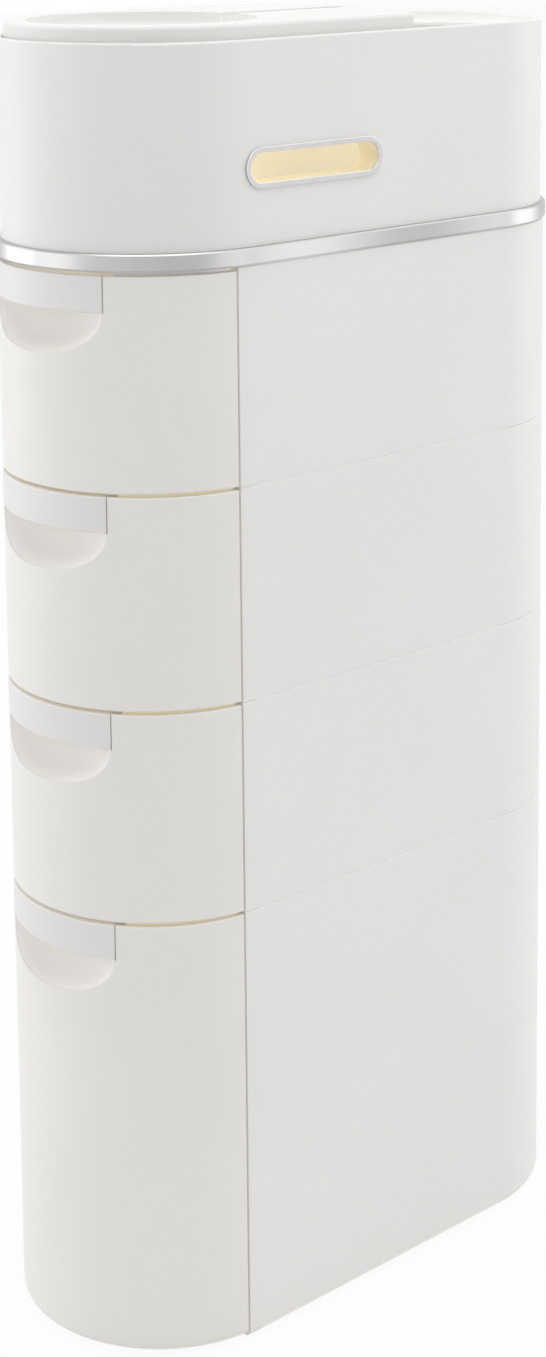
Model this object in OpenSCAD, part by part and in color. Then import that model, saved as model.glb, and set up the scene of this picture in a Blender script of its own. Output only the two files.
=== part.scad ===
// Slim bathroom storage tower: stacked plastic levels with rounded ends, four pull-out
// drawers at the front, a bright trim band and a top box with a lift-off lid.
// Millimetres, +Z up. The origin is on the floor, under the middle of the plan.
// The drawers open towards -Y; the dispensing slot is in the +X side.

/* [Body] */
// Width of the cabinet, across its flat sides
body_w = 180; // [164:2:200]
// Length of the cabinet, from the drawer fronts to the back
body_l = 395; // [340:5:440]
// Thickness of the cabinet's walls
wall = 2.4; // [2:0.2:2.8]
// Thickness of the deck in each level
deck_t = 2.4; // [2:0.2:3]
// Rounding of the lowest outside edge
base_round = 6; // [4:0.5:8]
// Bevel of the stacked rims, which shows as a fine line between levels
rim_bevel = 0.5; // [0.3:0.1:0.8]
// Depth of the spigot by which a level nests in the one below
spigot_h = 3; // [2:0.5:4]
// Thickness of that spigot
spigot_t = 2; // [1.6:0.2:2.4]
// Height of the lip that hangs behind the gap over each front
edge_h = 1.8; // [1.4:0.1:2.4]
// Thickness of that lip
edge_t = 2; // [1.6:0.1:2.4]
// Height of the stiffening ribs under a deck
rib_h = 2.4; // [1.6:0.2:3]
// Thickness of those ribs
rib_t = 1.6; // [1.2:0.2:2.4]
// Height of the foot pads
pad_h = 2; // [1.5:0.5:3]
// Diameter of a foot pad
pad_d = 18; // [14:1:24]
// Distance of the foot pads from the middle, across the cabinet
pad_x = 52; // [40:1:60]
// Distance of the foot pads from the middle, along the cabinet
pad_y = 118; // [100:1:125]
// Clearance between pieces that nest
fit_gap = 0.3; // [0.2:0.05:0.4]

/* [Drawers] */
// Height of a small drawer's level
small_h = 128.5; // [110:0.5:150]
// Height of the tall drawer's level
tall_h = 272.5; // [220:0.5:300]
// Gap between one front and the next
front_gap = 2; // [1.6:0.2:2.6]
// Height of the tall drawer's front above the cabinet's lower edge
base_step = 2; // [1:0.5:3]
// Gap between a front's ends and the cabinet's walls
seam_gap = 1.2; // [0.8:0.2:2]
// Distance of that seam ahead of the point where the end curve begins
seam_y = 9.5; // [4:0.5:12]
// Thickness of a drawer's front
front_t = 2.4; // [2:0.2:2.8]
// Width of the lip inside a front that carries the tub
lip_w = 7; // [5:0.5:9]
// Thickness of that lip
lip_t = 2.2; // [1.8:0.2:2.6]
// Thickness of a tub's walls and floor
tub_t = 2; // [1.6:0.2:2.4]
// Clearance at each side of a tub
tub_gap = 1; // [0.8:0.1:1.4]
// Distance of a tub's rim below the next deck
tub_drop = 8; // [7:0.5:12]
// Height of a tub's low front rim
tub_rim_h = 12; // [8:1:20]
// Half the angle of the low front rim
tub_rim_a = 44; // [42:1:50]
// Width of the folded rim round a tub's top
tub_lip_h = 2.5; // [2:0.5:4]
// Clearance between a tub and its rails
run_gap = 0.3; // [0.2:0.05:0.4]
// Height of the rails on a deck
rail_h = 3; // [2.6:0.2:4]
// Width of a rail
rail_w = 4; // [3:0.5:6]
// Distance of the rails from the middle
rail_x = 58; // [50:1:62]
// Travel of a drawer up to its stop
travel = 265; // [200:5:280]
// Width of the stop on a deck
stop_w = 24; // [16:2:40]
// Thickness of the stop and its catch
stop_t = 3; // [2:0.5:4]
// Distance of the stop from the middle of the plan
stop_y = 150; // [140:1:155]

/* [Pulls] */
// Width of a pull, straight across
pull_w = 98; // [80:1:110]
// Height of the pull's band
band_h = 21.5; // [16:0.5:26]
// How far the band stands proud of the front
band_proud = 0.4; // [0.2:0.1:0.8]
// Radius of the bead along the band's lower edge
bead_r = 1.6; // [1.2:0.1:2]
// Height of the scoop below the band
scoop_h = 25.5; // [18:0.5:30]
// Depth of the scoop behind the foremost point
scoop_d = 24; // [20:1:27]
// Thickness of the scoop's wall
scoop_t = 2; // [1.6:0.2:2.4]
// Thickness of the cap over the scoop
cap_t = 2.2; // [1.8:0.2:2.6]
// Gap between the pull and the front's edges
pull_gap = 0.5; // [0.4:0.1:0.8]

/* [Trim band] */
// Height of the bright band
trim_h = 10.4; // [8:0.2:14]
// How far the band stands proud of the cabinet
trim_proud = 1.2; // [0.8:0.1:2]
// Thickness of the web that carries the top box
trim_web = 3; // [2:0.2:4]

/* [Top box] */
// Height of the top box
top_h = 118; // [100:0.5:150]
// Distance of the top box's wall inside the cabinet's wall
top_inset = 2; // [1.5:0.1:2.6]
// Thickness of the top box's wall
top_t = 3; // [2.6:0.1:3.2]
// Distance of the ledge below the rim
ledge_drop = 8; // [6:0.5:12]
// Width of the ledge
ledge_w = 4.6; // [3.6:0.2:6]
// Thickness of the ledge
ledge_t = 2.4; // [1.6:0.2:3]
// Thickness of the partition
part_t = 2.2; // [1.8:0.2:3]

/* [Slot] */
// Length of the slot's opening
slot_l = 102; // [80:1:110]
// Height of the slot's opening
slot_h = 17.4; // [12:0.2:22]
// Distance of the slot's front end behind the point where the end curve begins
slot_front = 2; // [1:0.5:12]
// Height of the slot's middle above the top box's underside
slot_z = 44.6; // [36:0.2:70]
// Width of the ring round the slot
ring_w = 3.2; // [2.8:0.1:4]
// Thickness of the ring
ring_t = 1.2; // [0.8:0.1:1.6]
// Thickness of the sleeve's wall
sleeve_t = 1.6; // [1.2:0.1:1.8]
// Depth of the sleeve from the ring's face
sleeve_d = 17; // [12:1:24]
// Width of the sleeve's flange inside the box
flange_w = 3; // [3:0.5:6]

/* [Lid] */
// Height of the lid above the rim
lid_rise = 9; // [6:0.2:12]
// Gap between the lid and the rim
lid_gap = 1.8; // [1.2:0.1:2.2]
// Thickness of the lid's top and skirt
lid_t = 2.2; // [1.8:0.1:2.6]
// Rounding of the lid's top edge
lid_round = 2.6; // [2.2:0.1:3]
// Radius of the bowed back edge
bow_r = 133; // [120:1:160]
// Distance of the bowed edge's furthest point behind the middle
bow_y = 61; // [50:1:70]
// Bevel of the bowed edge
bow_bevel = 1.4; // [1:0.1:2]
// Radius of the round dish in the lid
dish_r = 68; // [56:1:70]
// Distance of the dish's middle ahead of the middle of the plan
dish_y = 111; // [108:1:114]
// Depth of the dish
dish_d = 9; // [6:0.5:11]
// Rounding between the dish's wall and floor
dish_round = 5; // [3:0.5:6]
// Width of the groove that holds a phone upright
groove_w = 11; // [9:0.5:14]
// Depth of the groove
groove_d = 9; // [6:0.5:11]
// Distance of the groove's end from the bowed edge
groove_end = 9; // [6:0.5:14]

/* [Hidden] */
$fn = 96;

plastic = "#dcdad4";
tub_plastic = "#e6e1d4";
bright = "#c9c9cc";
cream = "#e8dcb8";
rubber = "#6f6f6c";

body_r = body_w / 2;                     // radius of both ends
end_y = (body_l - body_w) / 2;           // centres of the end curves
top_r = body_r - top_inset;              // outside of the top box
tub_r = body_r - wall - tub_gap;         // outside of a tub
lid_r = top_r - top_t - lid_gap;         // outside of the lid

// Drawer 1 is the highest and drawer 4 the tall one at the bottom
function level_h(n) = n == 4 ? tall_h : small_h;
function level_z(n) = n == 4 ? pad_h : level_z(n + 1) + level_h(n + 1);
trim_z = level_z(1) + small_h;
top_z = trim_z + trim_h;
rim_z = top_z + top_h;
ledge_z = rim_z - ledge_drop;
lid_z = rim_z + lid_rise;

function front_low(n) = level_z(n) + (n == 4 ? base_step : front_gap / 2);
function front_high(n) = level_z(n) + level_h(n) - (n == 1 ? front_gap : front_gap / 2);
function tub_low(n) = level_z(n) + deck_t + rail_h + run_gap;
function tub_high(n) = level_z(n) + level_h(n) - tub_drop;

seam_a = asin((seam_y + seam_gap / 2) / body_r);
wall_a = asin((seam_y - seam_gap / 2) / body_r);
pull_a = asin(pull_w / 2 / body_r);
pull_gap_a = pull_gap / body_r * 180 / PI;
cap_a = pull_a - 1;                      // half the angle over which the cap joins the band
edge_from = seam_a + 1;                  // where the lip under a deck's front edge starts, from the side
edge_to = 90 - pull_a - 4;               // where it ends, clear of the pull
edge_set = 0.9;                          // distance of that edge behind a front's inner face

// The scoop is part of an ellipsoid whose outline meets the ends of the band
pull_sag = body_r - sqrt(body_r * body_r - pull_w * pull_w / 4);
scoop_w = pull_w / 2 / sqrt(1 - pow(pull_sag / scoop_d, 2));

flange_in = 2;                           // flat part inside a rounded edge, which the plate joins
rim_inset = 0.1;                         // sets a tub's low rim inside the faces of its wall
face_step = 0.1;                         // keeps two faces that nearly meet apart
rim_lap = 1;                             // angle by which that rim runs into the wall
flange_slack = 0.1;                      // keeps the sleeve's flange off the wall's inner face

slot_y = end_y - slot_front - slot_l / 2;  // the slot's middle, ahead of the middle of the plan
bow_c = bow_y - bow_r;                   // centre of the bowed edge
lid_low = ledge_z + fit_gap - lid_z;     // bottom of the lid's skirt, from its top

// ---- Runs of a profile along the outline. A profile's x is measured out from the
// ---- outline and its y is the height.

module arc_run(centre, r, from, to) {
  translate([centre[0], centre[1], 0])
    rotate([0, 0, from])
      rotate_extrude(angle = to - from)
        translate([r, 0])
          children();
}

module line_run(x, from, to) {
  translate([x, to, 0])
    rotate([90, 0, 0])
      linear_extrude(to - from)
        children();
}

module both_sides() {
  children();
  mirror([1, 0, 0]) children();
}

// Along both flat sides and round the back
module back_run(r) {
  both_sides() line_run(r, -end_y, end_y) children();
  arc_run([0, end_y], r, 0, 180) children();
}

// From both flat sides a given angle round towards the front
module both_fronts(r, angle) {
  mirror([0, 1, 0])
    both_sides() arc_run([0, end_y], r, 0, angle) children();
}

// Round the whole stadium
module full_run(r) {
  back_run(r) children();
  arc_run([0, -end_y], r, 180, 360) children();
}

module stadium(r) {
  square([2 * r, 2 * end_y], center = true);
  for (side = [-1, 1]) {
    translate([0, side * end_y]) circle(r);
  }
}

// What a rounding of radius r takes off a lower outside corner at the origin
module corner_off(r) {
  difference() {
    translate([-r, -1]) square([r + 1, r + 1]);
    translate([-r, r]) circle(r);
  }
}

// ---- Levels

module wall_profile(h, rounded) {
  difference() {
    union() {
      translate([-wall, 0]) square([wall, h]);
      if (rounded) {
        translate([-base_round - flange_in, 0]) square([base_round + flange_in, base_round]);
      }
    }
    if (rounded) {
      corner_off(base_round);
      translate([-base_round, base_round]) circle(base_round - wall);
      translate([-base_round - flange_in - 1, wall]) square([flange_in + 1, base_round]);
      translate([-base_round - 1, base_round]) square([base_round - wall + 1, h]);
    } else {
      polygon([[-rim_bevel, -1], [-rim_bevel, 0], [0, rim_bevel], [1, rim_bevel], [1, -1]]);
    }
    polygon([[-rim_bevel, h + 1], [-rim_bevel, h], [0, h - rim_bevel], [1, h - rim_bevel], [1, h + 1]]);
  }
}

module deck_plan(r, front_r) {
  square([2 * r, 2 * end_y], center = true);
  translate([0, end_y]) circle(r);
  translate([0, -end_y]) circle(front_r);
}

module rails() {
  front = end_y + sqrt(pow(body_r - front_t - lip_w, 2) - pow(rail_x + rail_w / 2, 2)) - 2;
  both_sides() {
    translate([rail_x - rail_w / 2, -front, deck_t])
      cube([rail_w, front + end_y + 20, rail_h]);
  }
  translate([-stop_w / 2, -stop_y, deck_t]) cube([stop_w, stop_t, rail_h - 2 * run_gap]);
}

module deck_ribs() {
  span = body_r - wall - fit_gap - spigot_t;
  for (x = [-40, 0, 40]) {
    translate([x - rib_t / 2, -end_y, -rib_h]) cube([rib_t, 2 * end_y, rib_h]);
  }
  for (y = [-end_y, -end_y / 3, end_y / 3, end_y]) {
    translate([-span, y - rib_t / 2, -rib_h]) cube([2 * span, rib_t, rib_h]);
  }
}

// Hangs behind the gap over a front, beside its pull, from what lies above it
module front_lip(up) {
  mirror([0, 1, 0])
    both_sides() arc_run([0, end_y], body_r - front_t - edge_set, edge_from, edge_to)
      translate([-edge_t, -edge_h]) square([edge_t, edge_h + up]);
}

module level(n) {
  h = level_h(n);
  lowest = n == 4;
  front_r = lowest ? body_r - base_round - 3 : body_r - front_t - edge_set + face_step;
  color(plastic)
  translate([0, 0, level_z(n)]) {
    back_run(body_r) wall_profile(h, lowest);
    both_fronts(body_r, wall_a) wall_profile(h, lowest);
    linear_extrude(deck_t) deck_plan(body_r - (lowest ? base_round + flange_in / 2 : wall / 2), front_r);
    rails();
    if (!lowest) {
      back_run(body_r - wall - fit_gap) translate([-spigot_t, -spigot_h]) square([spigot_t, spigot_h]);
      front_lip(deck_t / 2);
      deck_ribs();
    }
  }
}

module level_tall() level(4);
module level_low() level(3);
module level_mid() level(2);
module level_high() level(1);

module foot_pads() {
  color(rubber)
  for (x = [-pad_x, pad_x], y = [-pad_y, pad_y]) {
    translate([x, y, 0]) cylinder(h = pad_h, d = pad_d);
  }
}

// ---- Drawers

// The hollow of the scoop, or its outside where grow is its wall's thickness
module scoop(z, grow, top) {
  translate([0, -end_y - body_r, z]) {
    intersection() {
      scale([scoop_w + grow, scoop_d + grow, scoop_h + grow]) sphere(1, $fn = 64);
      translate([0, 0, -scoop_h * 2 + 0.01]) cylinder(h = scoop_h * 2, r = 2 * scoop_w);
    }
    linear_extrude(top - z) scale([scoop_w + grow, scoop_d + grow]) circle(1, $fn = 64);
  }
}

module front_profile(n) {
  z = front_low(n);
  h = front_high(n) - z;
  lip_z = tub_low(n) - lip_t;
  difference() {
    union() {
      translate([-front_t, z]) square([front_t, h]);
      translate([-front_t - lip_w, lip_z]) square([lip_w + front_t / 2, lip_t]);
      if (n == 4) {
        translate([-base_round, z]) square([base_round, base_round]);
      }
    }
    if (n == 4) {
      translate([0, z]) corner_off(base_round);
      difference() {
        translate([-base_round, z + base_round]) circle(base_round - front_t);
        translate([-front_t - lip_w, lip_z]) square([lip_w + front_t, lip_t]);
      }
    } else {
      translate([0, z]) corner_off(1);
    }
    translate([0, z + h]) mirror([0, 1]) corner_off(1);
  }
}

module drawer_front(n) {
  top = front_high(n);
  band_z = top - band_h;
  color(plastic)
  difference() {
    union() {
      arc_run([0, -end_y], body_r, 180 + seam_a, 360 - seam_a) front_profile(n);
      intersection() {
        scoop(band_z, scoop_t, top - cap_t);
        translate([0, -end_y, level_z(n)]) cylinder(h = level_h(n), r = body_r - front_t / 2);
      }
    }
    scoop(band_z, 0, top + 1);
    arc_run([0, -end_y], body_r, 270 - pull_a - pull_gap_a, 270 + pull_a + pull_gap_a)
      translate([-front_t - 0.1, band_z]) square([front_t + 1, band_h + 1]);
  }
}

module band_profile() {
  translate([-front_t, bead_r]) square([front_t + band_proud, band_h - bead_r - 1]);
  translate([-front_t, band_h - 1.1]) square([front_t + band_proud - 1, 1.1]);
  translate([band_proud - 1, band_h - 1]) circle(1, $fn = 32);
  translate([band_proud - bead_r, bead_r]) circle(bead_r, $fn = 32);
}

module drawer_pull(n) {
  top = front_high(n);
  color(plastic) {
    arc_run([0, -end_y], body_r, 270 - pull_a, 270 + pull_a)
      translate([0, top - band_h]) band_profile();
    translate([0, 0, top - cap_t])
      linear_extrude(cap_t)
        intersection() {
          translate([0, -end_y - body_r]) scale([scoop_w + scoop_t, scoop_d + scoop_t]) circle(1, $fn = 64);
          union() {
            translate([0, -end_y]) circle(body_r - front_t - fit_gap);
            intersection() {
              translate([0, -end_y]) circle(body_r - front_t / 2);
              translate([0, -end_y])
                polygon([[0, 0], [-sin(cap_a), -cos(cap_a)] * 2 * body_r,
                         [sin(cap_a), -cos(cap_a)] * 2 * body_r]);
            }
          }
        }
  }
}

module tub_guides() {
  side = rail_x - rail_w / 2 - 0.5;
  both_sides() {
    translate([side - rib_t, -end_y, -rail_h + run_gap]) cube([rib_t, 2 * end_y, rail_h]);
  }
  translate([-stop_w / 2, travel - stop_y + stop_t + run_gap, -rail_h + run_gap])
    cube([stop_w, stop_t, rail_h]);
}

module drawer_tub(n) {
  z = tub_low(n);
  h = tub_high(n) - z;
  full = 90 - tub_rim_a;
  color(tub_plastic)
  translate([0, 0, z]) {
    linear_extrude(tub_t) stadium(tub_r - tub_t / 2);
    back_run(tub_r) tub_profile(h);
    both_fronts(tub_r, full) tub_profile(h);
    arc_run([0, -end_y], tub_r - rim_inset, 180 + full - rim_lap, 360 - full + rim_lap)
      translate([2 * rim_inset - tub_t, 0]) square([tub_t - 2 * rim_inset, tub_rim_h]);
    tub_guides();
  }
}

module tub_profile(h) {
  translate([-tub_t, 0]) square([tub_t, h]);
  translate([-tub_t, h - tub_lip_h]) square([tub_t + tub_gap / 2, tub_lip_h]);
}

// ---- Trim band and top box

module trim_profile() {
  polygon([
    [-wall + fit_gap, 0], [0, 0], [trim_proud, 1.4], [trim_proud, trim_h - 0.8],
    [trim_proud - 0.8, trim_h], [-wall - fit_gap - spigot_t, trim_h],
    [-wall - fit_gap - spigot_t, trim_h - trim_web], [-wall + fit_gap, trim_h - trim_web]
  ]);
}

module trim_band() {
  color(bright)
  translate([0, 0, trim_z]) {
    full_run(body_r) trim_profile();
    back_run(body_r - wall - fit_gap)
      translate([-spigot_t, -spigot_h]) square([spigot_t, spigot_h + trim_h - trim_web + 0.1]);
    front_lip(trim_h - trim_web + fit_gap / 2);
  }
}

module top_wall_profile() {
  translate([-top_t, 0]) square([top_t, top_h - top_t / 2]);
  translate([-top_t / 2, top_h - top_t / 2]) circle(top_t / 2, $fn = 32);
  translate([-top_t - ledge_w, top_h - ledge_drop - ledge_t]) square([ledge_w + 0.5, ledge_t]);
}

module slot_plan(grow) {
  half = (slot_l - slot_h) / 2;
  translate([-half, -slot_h / 2 - grow]) square([2 * half, slot_h + 2 * grow]);
  for (side = [-1, 1]) {
    translate([side * half, 0]) circle(slot_h / 2 + grow);
  }
}

// Sets a plan drawn on the slot's axis upright in the +X side, running from x = from to x = to
module slot_prism(from, to) {
  translate([from, -slot_y, top_z + slot_z])
    rotate([90, 0, 90])
      linear_extrude(to - from)
        children();
}

// The partition follows the lid's bowed edge and carries it
module partition() {
  translate([0, 0, deck_t / 2])
    linear_extrude(top_h - ledge_drop - deck_t / 2)
      intersection() {
        difference() {
          translate([0, bow_c]) circle(bow_r);
          translate([0, bow_c]) circle(bow_r - part_t);
        }
        translate([-top_r + top_t / 2, 0]) square([2 * top_r - top_t, body_l]);
        stadium(top_r - top_t / 2);
      }
}

module top_box() {
  locate_r = body_r - wall - 2 * fit_gap - spigot_t;
  color(plastic)
  difference() {
    translate([0, 0, top_z]) {
      full_run(top_r) top_wall_profile();
      linear_extrude(deck_t) stadium(top_r - top_t / 2);
      full_run(locate_r) translate([-spigot_t, -trim_web + fit_gap]) square([spigot_t, trim_web]);
      partition();
    }
    slot_prism(top_r - 2 * top_t, top_r + 1) slot_plan(sleeve_t + 0.2);
  }
}

module slot_ring() {
  color(bright)
  slot_prism(top_r, top_r + ring_t)
    difference() {
      slot_plan(ring_w);
      slot_plan(0);
    }
}

module slot_sleeve() {
  flange_x = top_r - top_t - flange_slack;
  color(cream) {
    slot_prism(top_r + ring_t - sleeve_d, top_r)
      difference() {
        slot_plan(sleeve_t);
        slot_plan(0);
      }
    slot_prism(flange_x - deck_t, flange_x)
      difference() {
        slot_plan(sleeve_t + flange_w);
        slot_plan(sleeve_t / 2);
      }
  }
}

// ---- Lid

module skirt_profile() {
  difference() {
    union() {
      translate([-lid_t, lid_low]) square([lid_t, -lid_low]);
      translate([-lid_round - flange_in, -lid_t]) square([lid_round + flange_in, lid_t]);
    }
    mirror([0, 1]) corner_off(lid_round);
  }
}

// The lid's shell, with its sides and top run on past the bowed edge
module lid_shell() {
  top_edge = lid_r - lid_round - flange_in / 2;
  arc_run([0, -end_y], lid_r, 180, 360) skirt_profile();
  both_sides() line_run(lid_r, -end_y, bow_y) skirt_profile();
  translate([0, 0, -lid_t]) linear_extrude(lid_t) {
    translate([0, -end_y]) circle(top_edge);
    translate([-top_edge, -end_y]) square([2 * top_edge, end_y + bow_y + 1]);
  }
  translate([0, 0, lid_low]) linear_extrude(-lid_low - lid_t / 2) intersection() {
    difference() {
      translate([0, bow_c]) circle(bow_r + 4);
      translate([0, bow_c]) circle(bow_r - lid_t);
    }
    translate([-lid_r + lid_t / 2, 0]) square([2 * lid_r - lid_t, bow_y + 10]);
  }
}

// All that lies behind the bowed edge, and the bevel along it
module behind_bow() {
  translate([0, 0, lid_low - 1]) linear_extrude(2 - lid_low) difference() {
    translate([-body_r, 0]) square([body_w, bow_y + 20]);
    translate([0, bow_c]) circle(bow_r);
  }
  arc_run([0, bow_c], bow_r, 40, 140)
    polygon([[-bow_bevel - 1, 1], [1, -bow_bevel - 1], [1, 1]]);
}

module dish(grow) {
  depth = dish_d + grow;
  r = dish_r + grow;
  bottom = dish_round + grow;
  rotate_extrude() {
    difference() {
      translate([0, -depth]) square([r, depth + 1 - grow]);
      translate([r, -depth]) corner_off(bottom);
      translate([-r, -depth - 1]) square([r, depth + 2]);
    }
  }
}

module lid() {
  groove_l = bow_y - groove_end + dish_y;
  color(plastic)
  translate([0, 0, lid_z])
  difference() {
    union() {
      lid_shell();
      translate([0, -dish_y, 0]) dish(lid_t);
      translate([-groove_w / 2 - lid_t, -dish_y, -groove_d - lid_t])
        cube([groove_w + 2 * lid_t, groove_l + lid_t, groove_d + lid_t / 2]);
    }
    behind_bow();
    translate([0, -dish_y, 0]) dish(0);
    translate([-groove_w / 2, -dish_y, -groove_d]) cube([groove_w, groove_l, groove_d + 1]);
  }
}

foot_pads();
level_tall();
level_low();
level_mid();
level_high();
trim_band();
top_box();
slot_ring();
slot_sleeve();
lid();
drawer_tub(1);  // drawer_1_tub
drawer_front(1);  // drawer_1_front
drawer_pull(1);  // drawer_1_pull
drawer_tub(2);  // drawer_2_tub
drawer_front(2);  // drawer_2_front
drawer_pull(2);  // drawer_2_pull
drawer_tub(3);  // drawer_3_tub
drawer_front(3);  // drawer_3_front
drawer_pull(3);  // drawer_3_pull
drawer_tub(4);  // drawer_4_tub
drawer_front(4);  // drawer_4_front
drawer_pull(4);  // drawer_4_pull
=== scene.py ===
import math

import bpy
from mathutils import Matrix, Vector


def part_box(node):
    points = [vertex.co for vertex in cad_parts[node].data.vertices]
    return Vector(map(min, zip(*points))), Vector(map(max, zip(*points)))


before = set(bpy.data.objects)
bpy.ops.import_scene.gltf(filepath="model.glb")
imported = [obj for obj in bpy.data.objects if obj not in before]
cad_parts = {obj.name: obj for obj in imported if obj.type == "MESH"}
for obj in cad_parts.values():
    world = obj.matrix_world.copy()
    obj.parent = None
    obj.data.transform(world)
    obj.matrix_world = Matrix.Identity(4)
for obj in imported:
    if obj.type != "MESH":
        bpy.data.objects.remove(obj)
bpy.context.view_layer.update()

# ---------------------------------------------------------------- sizes from the model, in metres

BODY_HIGH = Vector(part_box("level_tall")[1])
BODY_R = BODY_HIGH.x                     # radius of both rounded ends of the levels
END_Y = BODY_HIGH.y - BODY_R             # the middles of the rounded ends lie at +-END_Y
BOX_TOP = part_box("top_box")[1][2]
LID_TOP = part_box("lid")[1][2]
BAND_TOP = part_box("trim_band")[1][2]     # the top box's floor lies on it
TUB_TOPS = [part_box("drawer_%d_tub" % n)[1][2] for n in (1, 2, 3, 4)]

# ---------------------------------------------------------------- camera

WIDTH, HEIGHT = 546, 1357                                # the photograph's frame, in pixels
CAM_AZ, CAM_EL, CAM_ROLL = 47.5419, 8.8108, -0.4959      # in degrees
CAM_AIM = Vector((0, 0, 0.3959))
CAM_DIST, CAM_RIGHT, CAM_UP = 1.606981, 0.000192, 0.241690
FOCAL_PX, CENTRE_X, CENTRE_Y = 2511.98, 283.40, 262.0    # in the photograph's pixels
SENSOR = 36                                              # in millimetres, as Blender has it
CLIP_NEAR, CLIP_FAR = 0.05, 60


def make_camera():
    """The camera fitted to the photograph: it looks from an azimuth and a height, slid right and up."""
    azimuth, height, roll = (math.radians(angle) for angle in (CAM_AZ, CAM_EL, CAM_ROLL))
    level = math.cos(height)
    back = Vector((math.sin(azimuth) * level, -math.cos(azimuth) * level, math.sin(height)))
    right = (-back).cross(Vector((0, 0, 1))).normalized()
    up = right.cross(-back)
    place = CAM_AIM + back * CAM_DIST + right * CAM_RIGHT + up * CAM_UP
    rolled_right = math.cos(roll) * right + math.sin(roll) * up
    rolled_up = math.cos(roll) * up - math.sin(roll) * right
    axes = Matrix((rolled_right, rolled_up, back)).transposed().to_4x4()
    cam = bpy.data.objects.new("camera", bpy.data.cameras.new("camera"))
    bpy.context.scene.collection.objects.link(cam)
    cam.matrix_world = Matrix.Translation(place) @ axes
    cam.data.sensor_width = SENSOR
    cam.data.lens = FOCAL_PX * SENSOR / HEIGHT
    cam.data.shift_x = (WIDTH / 2 - CENTRE_X) / HEIGHT
    cam.data.shift_y = (CENTRE_Y - HEIGHT / 2) / HEIGHT
    cam.data.clip_start, cam.data.clip_end = CLIP_NEAR, CLIP_FAR
    bpy.context.scene.camera = cam


make_camera()

# ---------------------------------------------------------------- node trees


class Nodes:
    """Builds a node tree from short calls. A number stands for itself, a socket for a link."""

    def __init__(self, owner):
        owner.use_nodes = True
        self.tree = owner.node_tree
        self.tree.nodes.clear()
        self.known = {}

    def add(self, kind, ins=None, **settings):
        node = self.tree.nodes.new("ShaderNode" + kind)
        for key, value in settings.items():
            setattr(node, key, value)
        for socket, value in (ins or {}).items():
            self.feed(node, socket, value)
        return node

    def feed(self, node, socket, value):
        if isinstance(value, bpy.types.NodeSocket):
            self.tree.links.new(value, node.inputs[socket])
        else:
            node.inputs[socket].default_value = value

    def math(self, operation, one, two=0.0):
        return self.add("Math", {0: one, 1: two}, operation=operation).outputs[0]

    def times(self, first, *others):
        """The product of all the values: for masks, where all of them hold."""
        for other in others:
            first = self.math("MULTIPLY", first, other)
        return first

    def vector(self, operation, one, two, out="Vector"):
        return self.add("VectorMath", {0: one, 1: two}, operation=operation).outputs[out]

    def place(self):
        """The point in the piece's own frame."""
        if "place" not in self.known:
            self.known["place"] = self.add("TexCoord").outputs["Object"]
        return self.known["place"]

    def xyz(self):
        if "xyz" not in self.known:
            self.known["xyz"] = self.add("SeparateXYZ", {0: self.place()}).outputs
        return self.known["xyz"]

    def normal(self):
        return self.add("NewGeometry").outputs["Normal"]

    def facing_up(self):
        """How far the surface faces up: 1 is up, -1 is down."""
        return self.add("SeparateXYZ", {0: self.normal()}).outputs[2]

    def plan(self):
        """The point's step from the middle line of the plan, and its distance from that line."""
        if "plan" not in self.known:
            x, y = self.xyz()[0], self.xyz()[1]
            along = self.math("MAXIMUM", self.math("MINIMUM", y, END_Y), -END_Y)
            dy = self.math("SUBTRACT", y, along)
            squares = self.math("ADD", self.math("MULTIPLY", x, x), self.math("MULTIPLY", dy, dy))
            self.known["plan"] = (x, dy, self.math("SQRT", squares))
        return self.known["plan"]

    def span(self, value, low, high, start, stop):
        """Carries value from start..stop over to low..high, held at both ends."""
        ends = {"From Min": start, "From Max": stop, "To Min": low, "To Max": high}
        return self.add("MapRange", {"Value": value, **ends}).outputs["Result"]

    def rise(self, value, start, stop):
        """A mask that rises from 0 at start to 1 at stop."""
        return self.span(value, 0, 1, start, stop)

    def fall(self, value, start, stop):
        """A mask that falls from 1 at start to 0 at stop."""
        return self.span(value, 1, 0, start, stop)

    def deeper(self, start, stop):
        """A mask that rises with the depth below the levels' outer face."""
        return self.fall(self.plan()[2], BODY_R - stop, BODY_R - start)

    def shallower(self, start, stop):
        """A mask that falls with the depth below the levels' outer face."""
        return self.rise(self.plan()[2], BODY_R - stop, BODY_R - start)

    def noise(self, scale, detail=2.0, rough=0.5):
        ins = {"Vector": self.place(), "Scale": scale, "Detail": detail, "Roughness": rough}
        return self.add("TexNoise", ins).outputs["Fac"]

    def drift(self, low, high, scale, detail=2.0):
        """Noise that is spread over low..high."""
        return self.span(self.noise(scale, detail), low, high, 0.3, 0.7)

    def mix(self, share, one, two):
        """One where share is 0, two where it is 1. Each is a colour or a socket."""
        one, two = ((*end, 1) if isinstance(end, tuple) else end for end in (one, two))
        return self.add("Mix", {0: share, 6: one, 7: two}, data_type="RGBA").outputs[2]

    def bump(self, height, strength, distance, normal):
        ins = {"Height": height, "Strength": strength, "Distance": distance, "Normal": normal}
        return self.add("Bump", ins).outputs["Normal"]

    def eased(self, radius, samples):
        """The normal with the piece's edges rounded off."""
        return self.add("Bevel", {"Radius": radius}, samples=samples).outputs["Normal"]

    def edge(self, eased):
        """0 on a face, rising to 1 on the softened edges."""
        return self.fall(self.vector("DOT_PRODUCT", self.normal(), eased, "Value"), 0.90, 0.99)

    def surface(self, shader):
        self.add("OutputMaterial", {"Surface": shader})


# ---------------------------------------------------------------- painted light in the hollows

# The walls are thin and let light in; that light is painted here as a glow (emission) on the
# hollows' own surfaces that the gaps and the slot show: the underside of the lid most, the rest
# faintly. Each function gives a hollow's painted colour, its mask and the strength of its painted glow.

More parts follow.
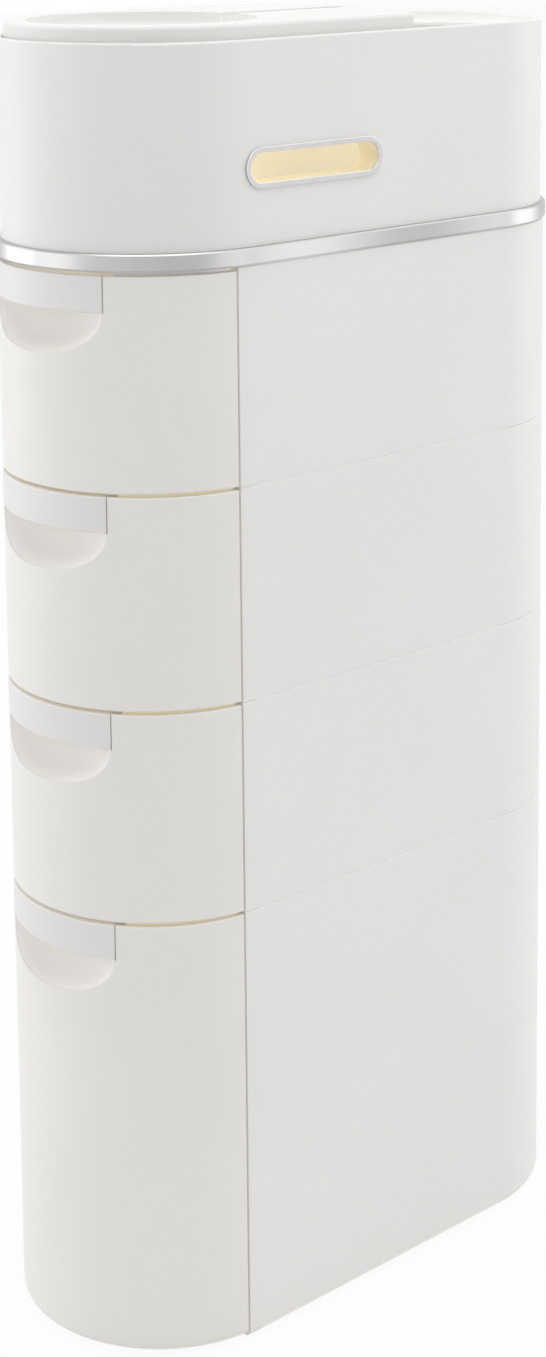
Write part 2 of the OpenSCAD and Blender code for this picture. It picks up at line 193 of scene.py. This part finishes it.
WHITE = ((0.835, 0.828, 0.812), (0.855, 0.848, 0.832))
# The fronts' tone is painted a little warmer: it stands in for the warm light on the front-facing faces.
WARM_LIT = ((0.845, 0.828, 0.800), (0.865, 0.848, 0.820))
# The tubs are off-white; their cream tint is painted warm light that comes through the thin plastic.
CREAM_LIT = ((0.86, 0.835, 0.77), (0.88, 0.855, 0.79))
GREY = ((0.795, 0.785, 0.772), (0.815, 0.805, 0.792))
SLEEVE = ((0.88, 0.81, 0.65), (0.90, 0.83, 0.67))

# The strengths of the painted glow (emission) in each hollow.
GLOW = {"level": 0.08, "lip": 0.17, "groove": 0.085, "front": 0.07, "tub": 0.085, "tub_rim": 0.12,
        "sleeve": 0.06, "lid_groove": 0.09, "under_lid": 1.0, "box_ring": 0.45, "box": 0.20, "rear": 0.16}

# Where the masks change. A skin is a depth below the levels' outer face, from outside to hollow.
LEVEL_SKIN = (0.0006, 0.0014)
LIP_SKIN, LIP_Y = (0.0056, 0.0062), (-0.125, -0.115)     # the levels' lips behind the fronts
GROOVE_FACE, GROOVE_BACK = (0.0001, 0.0003), (0.0012, 0.0016)
GROOVE_SHORT = 0.002                                     # the grooves' painted glow stops before the round ends
FRONT_SKIN = (0.0008, 0.0016)
TUB_SKIN = (0.012, 0.014)
TUB_RIM = (0.030, 0.010)                                 # below a tub's top
TUB_OVER = 0.001
SLEEVE_SKIN = (0.0, 0.001)
CUT_HALF = 0.0068                                        # half the width of the lid's groove
CUT_START, CUT_END = (-0.080, -0.070), (0.056, 0.058)    # its ends along y
CUT_TOP = (0.002, 0.0005)                                # below the lid's top
LID_SKIN, LID_BACK, FACES_DOWN = (0.006, 0.008), 0.03, -0.5
BOX_SKIN = (0.0042, 0.0048)
FRONT_TOP, REAR_TOP = (0.045, 0.012), (0.07, 0.02)       # of the compartments' painted glow, below the box's top
REAR_Y = (0.02, 0.05)                                    # from the front compartment to the rear one
RING_SOFT = 0.001                                        # from the ring under the floor to the box


def below(top, depths):
    """The heights at these depths below top."""
    return [top - depth for depth in depths]


def level_inside(n):
    """Painted cream glow behind the gaps of the fronts, a plain painted glow inside, and painted light in
    the grooves between the levels.
    """
    y = n.xyz()[1]
    inside = n.deeper(*LEVEL_SKIN)
    lip = n.times(n.shallower(*LIP_SKIN), n.fall(y, *LIP_Y))
    # Painted cream: the warm light behind the gaps of the fronts.
    colour = n.mix(lip, (0.86, 0.83, 0.77), (0.86, 0.77, 0.55))
    flat = n.math("LESS_THAN", n.math("ABSOLUTE", y), END_Y - GROOVE_SHORT)
    groove = n.times(n.deeper(*GROOVE_FACE), n.shallower(*GROOVE_BACK), flat, GLOW["groove"])
    lit = n.times(inside, n.span(lip, GLOW["level"], GLOW["lip"], 0, 1))
    return colour, inside, n.math("ADD", lit, groove)


def front_inside(n):
    """The inner side of the fronts and the pulls, with a faint painted glow."""
    inside = n.deeper(*FRONT_SKIN)
    colour = n.mix(n.drift(0, 1, 40), (0.86, 0.84, 0.81), (0.87, 0.85, 0.82))
    return colour, inside, n.times(inside, GLOW["front"])


def tub_inside(n):
    """A faint painted glow in all of a tub and more on its upper rim, seen through the corners of the gaps.
    """
    z = n.xyz()[2]
    near_top = 0.0
    for top in TUB_TOPS:
        band = n.times(n.rise(z, *below(top, TUB_RIM)), n.math("LESS_THAN", z, top + TUB_OVER))
        near_top = n.math("ADD", near_top, band)
    rim = n.times(n.shallower(*TUB_SKIN), near_top)
    # The rim is painted a warmer cream: painted warm light.
    colour = n.mix(rim, CREAM_LIT[0], (0.86, 0.79, 0.65))
    return colour, rim, n.span(rim, GLOW["tub"], GLOW["tub_rim"], 0, 1)


def slot_inside(n):
    """The cream sleeve behind the slot, with a faint painted glow."""
    inside = n.deeper(*SLEEVE_SKIN)
    colour = n.mix(n.drift(0, 1, 40), (0.87, 0.80, 0.63), (0.89, 0.82, 0.65))
    return colour, inside, n.times(inside, GLOW["sleeve"])


def lid_light(n):
    """Painted light in the lid's narrow groove, which lightens its shade, and a strong painted cream glow
    on the lid's underside, standing in for light that comes through the lid.
    """
    x, y, z = n.xyz()[:3]
    across = n.math("LESS_THAN", n.math("ABSOLUTE", x), CUT_HALF)
    along = n.times(n.rise(y, *CUT_START), n.fall(y, *CUT_END))
    groove = n.times(across, along, n.fall(z, *below(LID_TOP, CUT_TOP)))
    down = n.math("LESS_THAN", n.facing_up(), FACES_DOWN)
    under = n.times(down, n.math("LESS_THAN", y, LID_BACK), n.deeper(*LID_SKIN))
    # Painted cream for the painted glow under the lid.
    colour = n.mix(under, WHITE[0], (0.88, 0.82, 0.66))
    lit = n.math("ADD", n.times(groove, GLOW["lid_groove"]), n.times(under, GLOW["under_lid"]))
    return colour, n.math("MAXIMUM", groove, under), lit


def box_inside(n):
    """Painted warm glow in the closed front compartment, a plain painted glow in the open rear one.

    The ring under the box's floor is given more painted glow than the walls, because it shows over the top
    drawer.
    """
    y, z = n.xyz()[1], n.xyz()[2]
    walls = n.deeper(*BOX_SKIN)
    rear = n.rise(y, *REAR_Y)
    front = n.times(n.fall(z, *below(BOX_TOP, FRONT_TOP)), n.math("SUBTRACT", 1.0, rear))
    colour = n.mix(front, (0.86, 0.855, 0.84), (0.88, 0.83, 0.70))
    glow = n.times(front, n.span(z, GLOW["box_ring"], GLOW["box"], BAND_TOP, BAND_TOP + RING_SOFT))
    upper = n.rise(z, *below(BOX_TOP, REAR_TOP))
    lit = n.math("ADD", glow, n.times(rear, upper, GLOW["rear"]))
    return colour, walls, n.times(lit, walls)


# ---------------------------------------------------------------- materials

EDGE_HIGHLIGHT, EDGE_HIGHLIGHT_SHARE = (0.93, 0.925, 0.91), 0.7       # edges are painted a little paler than faces: a painted highlight
ROUGH_DRIFT = 0.04


def moulded(name, one, two, hollow, rough=0.42, grain=0.05, sheen=0.25, edge=0.0008):
    """Moulded plastic: a faint drift of tone, a fine moulded grain, softened edges with a painted
    highlight, a soft sheen, and the painted colour and glow of its hollows.
    """
    material = bpy.data.materials.new(name)
    n = Nodes(material)
    eased = n.eased(edge, samples=6)
    tone = n.mix(n.drift(0, 1, 9, detail=3), one, two)
    # Painted highlight: the softened edges are painted paler.
    tone = n.mix(n.times(n.edge(eased), EDGE_HIGHLIGHT_SHARE), tone, EDGE_HIGHLIGHT)
    wavy = n.bump(n.noise(28, detail=1), strength=0.12, distance=0.0006, normal=eased)
    fine = n.bump(n.noise(2600, detail=2, rough=0.6), strength=grain, distance=0.0001, normal=wavy)
    soft = n.drift(rough - ROUGH_DRIFT, rough + ROUGH_DRIFT, 35)
    # The hollow's painted colour, its mask and its painted glow.
    colour, mask, strength = hollow(n)
    p = n.add("BsdfPrincipled", {
        "Base Color": n.mix(mask, tone, colour), "Roughness": soft, "Specular IOR Level": sheen,
        "Normal": fine, "Emission Color": colour, "Emission Strength": strength})
    n.surface(p.outputs["BSDF"])
    return material


def round_normal(n):
    """The true normal of a wall that follows the plan, in place of its facets' normals."""
    x, dy, r = n.plan()
    out = n.add("CombineXYZ", {0: n.math("DIVIDE", x, r), 1: n.math("DIVIDE", dy, r), 2: 0.0}).outputs[0]
    facing = n.vector("DOT_PRODUCT", n.normal(), out, "Value")
    level = n.add("VectorMath", {0: out, "Scale": facing}, operation="SCALE").outputs[0]
    upright = n.vector("MULTIPLY", n.normal(), (0, 0, 1))
    return n.add("VectorMath", {0: n.vector("ADD", level, upright)}, operation="NORMALIZE").outputs[0]


REFLECTION_PERIOD = 0.172                      # distance between the band's painted light zones of reflection
REFLECTION_DARK = 0.022                        # where one of its painted dark zones of reflection lies


def bright_band():
    """Plated plastic with painted reflections: broad soft light and dark zones along the band, painted
    darker at its back and left and on its top ledge.
    """
    material = bpy.data.materials.new("bright_band")
    n = Nodes(material)
    x, y = n.xyz()[0], n.xyz()[1]
    turn = n.times(n.math("SUBTRACT", y, REFLECTION_DARK), 2 * math.pi / REFLECTION_PERIOD)
    # Painted reflection: broad light and dark zones along the band.
    reflection_zone = n.math("ADD", n.fall(n.math("COSINE", turn), -1, 1), n.drift(-0.06, 0.06, 14))
    tone = n.mix(reflection_zone, (0.48, 0.475, 0.48), (0.70, 0.695, 0.70))
    # Painted reflection: darker towards the band's back and its left end.
    reflection_dim = n.math("MAXIMUM", n.span(y, 0, 0.2, 0, 0.15), n.span(x, 0.32, 0, -0.07, 0))
    tone = n.mix(reflection_dim, tone, (0.0, 0.0, 0.0))
    # Painted reflection: the top ledge is painted dark.
    tone = n.mix(n.rise(n.facing_up(), 0.25, 0.6), tone, (0.48, 0.475, 0.47))
    p = n.add("BsdfPrincipled", {"Base Color": tone, "Roughness": n.drift(0.30, 0.34, 300),
                                 "Normal": round_normal(n), "Metallic": 1.0})
    n.surface(p.outputs["BSDF"])
    return material


def bright_ring():
    """Plated plastic with painted highlights: its edges are painted paler."""
    material = bpy.data.materials.new("bright_ring")
    n = Nodes(material)
    eased = n.eased(0.0007, samples=8)
    tone = n.mix(n.drift(0, 1, 60), (0.545, 0.54, 0.545), (0.575, 0.57, 0.575))
    # Painted highlight on the ring's edges.
    tone = n.mix(n.edge(eased), tone, (0.80, 0.80, 0.81))
    p = n.add("BsdfPrincipled", {"Base Color": tone, "Roughness": n.drift(0.28, 0.34, 300),
                                 "Normal": eased, "Metallic": 1.0})
    n.surface(p.outputs["BSDF"])
    return material


def rubber():
    """Dark soft rubber with a coarse grain."""
    material = bpy.data.materials.new("soft_rubber")
    n = Nodes(material)
    tone = n.mix(n.drift(0, 1, 120, detail=3), (0.10, 0.10, 0.098), (0.14, 0.14, 0.137))
    grain = n.bump(n.noise(1800), strength=0.2, distance=0.0002, normal=n.normal())
    p = n.add("BsdfPrincipled", {"Base Color": tone, "Roughness": n.drift(0.7, 0.85, 400), "Normal": grain})
    n.surface(p.outputs["BSDF"])
    return material


FINISH = {
    "shell": moulded("shell_plastic", *WHITE, level_inside),
    "top": moulded("top_plastic", *WHITE, box_inside),
    "front": moulded("front_plastic", *WARM_LIT, front_inside, rough=0.40, edge=0.0012),
    "pull": moulded("pull_plastic", *GREY, front_inside, rough=0.40),
    "lid": moulded("lid_plastic", *WHITE, lid_light, rough=0.5, sheen=0.12),
    "tub": moulded("tub_plastic", *CREAM_LIT, tub_inside, rough=0.45, grain=0.08),
    "sleeve": moulded("cream_plastic", *SLEEVE, slot_inside, rough=0.5, grain=0.08),
    "band": bright_band(),
    "ring": bright_ring(),
    "pads": rubber(),
}
WORN_BY = {"_tub": "tub", "_front": "front", "_pull": "pull", "slot_sleeve": "sleeve", "slot_ring": "ring",
           "trim_band": "band", "foot_pads": "pads", "top_box": "top", "lid": "lid"}

for node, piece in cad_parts.items():
    finish = next((worn for ending, worn in WORN_BY.items() if node.endswith(ending)), "shell")
    for slot in piece.material_slots:
        slot.material = FINISH[finish]

# ---------------------------------------------------------------- studio

FLOOR_SIZE, FLOOR_DROP = 24, 0.0002      # the drop keeps the floor clear of the pads' lower faces
FLOOR_COLOUR = (0.86, 0.86, 0.86, 1)
FLOOR_WHITE = 0.93                       # the share of white that direct rays see, the rest is lit
PURE_WHITE = (1, 1, 1, 1)
FILL = 0.57                              # the world's strength as a light
LAMP_AIM = Vector((0, 0, 0.4))

# Each lamp: azimuth round the object, height, distance, width and length, power, tint.
TALL, WIDE, PLAIN = (1.4, 2.4), (2.0, 2.0), (1, 1, 1)
LAMPS = {
    "left": (-60, 0.9, 2.2, TALL, 15.4, (0.97, 1.0, 1.03)),
    "front": (-20, 0.9, 2.6, TALL, 7.4, (1.04, 1.0, 0.94)),
    "right": (110, 0.9, 2.4, TALL, 5.5, (1.05, 1.0, 0.93)),
    "right_rear": (160, 0.9, 2.2, TALL, 10.2, (0.98, 1.0, 1.02)),
    "top": (40, 2.8, 0.6, WIDE, 21, PLAIN),
    "top_rear": (150, 2.4, 1.6, WIDE, 7.5, PLAIN),
}


def area(name, azimuth, height, distance, size, power, tint):
    """A soft rectangular lamp aimed at the object's middle."""
    a = math.radians(azimuth)
    lamp = bpy.data.objects.new(name, bpy.data.lights.new(name, "AREA"))
    bpy.context.scene.collection.objects.link(lamp)
    lamp.data.shape = "RECTANGLE"
    lamp.data.size, lamp.data.size_y = size
    lamp.data.energy = power
    lamp.data.color = tint
    lamp.location = Vector((math.sin(a) * distance, -math.cos(a) * distance, height))
    lamp.rotation_mode = "QUATERNION"
    lamp.rotation_quaternion = (lamp.location - LAMP_AIM).to_track_quat("Z", "Y")


def shown_directly(n):
    """1 for rays from the camera and for what glossy and clear surfaces show."""
    path = n.add("LightPath").outputs
    seen = n.math("MAXIMUM", path["Is Camera Ray"], path["Is Glossy Ray"])
    return n.math("MAXIMUM", seen, path["Is Transmission Ray"])


def make_floor():
    """A pale floor that looks nearly white and keeps the object's shadow."""
    bpy.ops.mesh.primitive_plane_add(size=FLOOR_SIZE, location=(0, 0, -FLOOR_DROP))
    floor = bpy.context.object
    floor.name = "floor"
    material = bpy.data.materials.new("floor")
    n = Nodes(material)
    lit = n.add("BsdfDiffuse", {"Color": FLOOR_COLOUR}).outputs[0]
    white = n.add("Emission", {"Color": PURE_WHITE}).outputs[0]
    share = n.times(shown_directly(n), FLOOR_WHITE)
    n.surface(n.add("MixShader", {0: share, 1: lit, 2: white}).outputs[0])
    floor.data.materials.append(material)


def make_world():
    """Looks white and lights the object at a plain level."""
    world = bpy.data.worlds.new("studio")
    bpy.context.scene.world = world
    n = Nodes(world)
    fill = n.add("Background", {"Color": PURE_WHITE, "Strength": FILL}).outputs[0]
    seen = n.add("Background", {"Color": PURE_WHITE, "Strength": 1.0}).outputs[0]
    mixed = n.add("MixShader", {0: shown_directly(n), 1: fill, 2: seen}).outputs[0]
    n.add("OutputWorld", {"Surface": mixed})


make_floor()
make_world()
for name, placing in LAMPS.items():
    area(name, *placing)

bpy.context.scene.view_settings.view_transform = "Standard"
